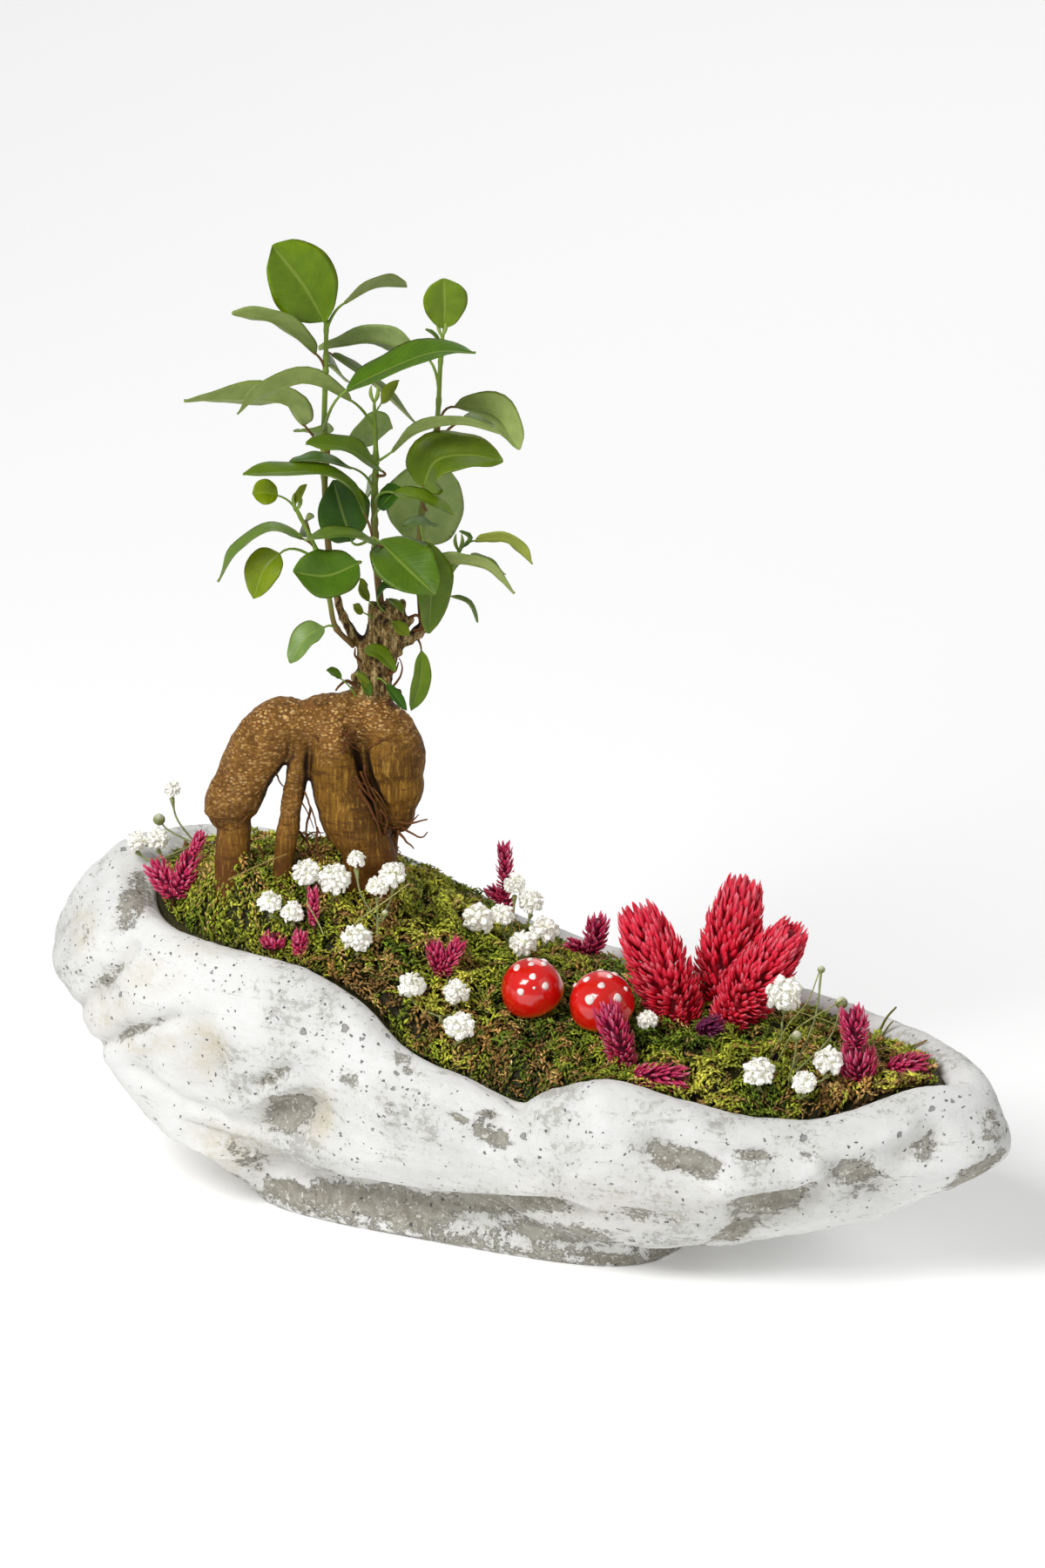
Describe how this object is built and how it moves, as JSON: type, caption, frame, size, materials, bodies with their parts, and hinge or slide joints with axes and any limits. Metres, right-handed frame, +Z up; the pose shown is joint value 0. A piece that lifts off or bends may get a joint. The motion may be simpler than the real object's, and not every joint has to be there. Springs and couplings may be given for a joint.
{
  "type": "ficus ginseng bonsai",
  "caption": "Ficus ginseng bonsai with bare aerial roots in a boat-shaped cast stone planter, with moss, dried flowers and small toadstools.",
  "frame": {"origin": "middle of the planter's flat foot, on the table", "axes": "+X along the planter towards its pointed tip, +Y to the back, +Z up"},
  "size_m": [0.361, 0.1344, 0.3505],
  "materials": {
    "cast_stone": "cast concrete brushed with matt white paint, worn to grey-beige in its dents, small dark pits",
    "soil": "dark damp potting soil",
    "moss": "springy feather moss in olive and bright green with brown dry patches",
    "bark": "smooth tan-brown ficus bark with pale speckles and fine rings",
    "leaf": "glossy dark green leaf with a pale rib and a grey-green underside",
    "white_petal": "thin ruffled white petals, slightly translucent",
    "flower_stem": "thin dull green stem",
    "dried_magenta": "dried magenta florets, dull",
    "dried_red": "dyed dried pink-red spikelets, dull",
    "cap_red": "glossy red lacquer with raised white dots",
    "stalk_cream": "satin cream paint"
  },
  "bodies": {
    "root": {"ficus_trunk": "bark", "flower_back_a": "white_petal", "flower_back_b": "white_petal", "flower_front_a": "white_petal", "flower_front_b": "white_petal", "flower_front_c": "white_petal", "flower_front_left": "white_petal", "flower_left_high": "white_petal", "flower_right_front": "white_petal", "flower_right_high": "white_petal", "flower_right_low": "white_petal", "flower_right_middle": "white_petal", "flower_shaded": "white_petal", "flower_trunk_side": "white_petal", "flowers_left_end": "white_petal", "flowers_left_front": "white_petal", "flowers_middle": "white_petal", "flowers_middle_right": "white_petal", "flowers_trunk_front": "white_petal", "flowers_trunk_right": "white_petal", "moss_bed": "moss", "mushroom_left_cap": "cap_red", "mushroom_left_stalk": "stalk_cream", "mushroom_right_cap": "cap_red", "mushroom_right_stalk": "stalk_cream", "planter": "cast_stone", "shoot_centre": "leaf", "shoot_left_low": "leaf", "shoot_left_tall": "leaf", "shoot_right_low": "leaf", "shoot_right_tall": "leaf", "soil": "soil", "spike_left": "dried_red", "spike_middle": "dried_red", "spike_right": "dried_red", "sprig_back": "dried_magenta", "sprig_back_right": "dried_magenta", "sprig_behind_flower": "dried_magenta", "sprig_centre": "dried_magenta", "sprig_front_left": "dried_magenta", "sprig_front_right": "dried_magenta", "sprig_left": "dried_magenta", "sprig_lying": "dried_magenta", "sprig_purple": "dried_magenta", "sprig_right": "dried_magenta", "sprig_right_end": "dried_magenta", "sprig_round": "dried_magenta", "stem_front_left": "flower_stem", "stem_right_high": "flower_stem", "stem_shaded": "flower_stem", "stems_front": "flower_stem", "stems_left": "flower_stem", "stems_middle": "flower_stem", "stems_right": "flower_stem", "stems_trunk_front": "flower_stem", "stems_trunk_right": "flower_stem"}
  },
  "joints": []
}
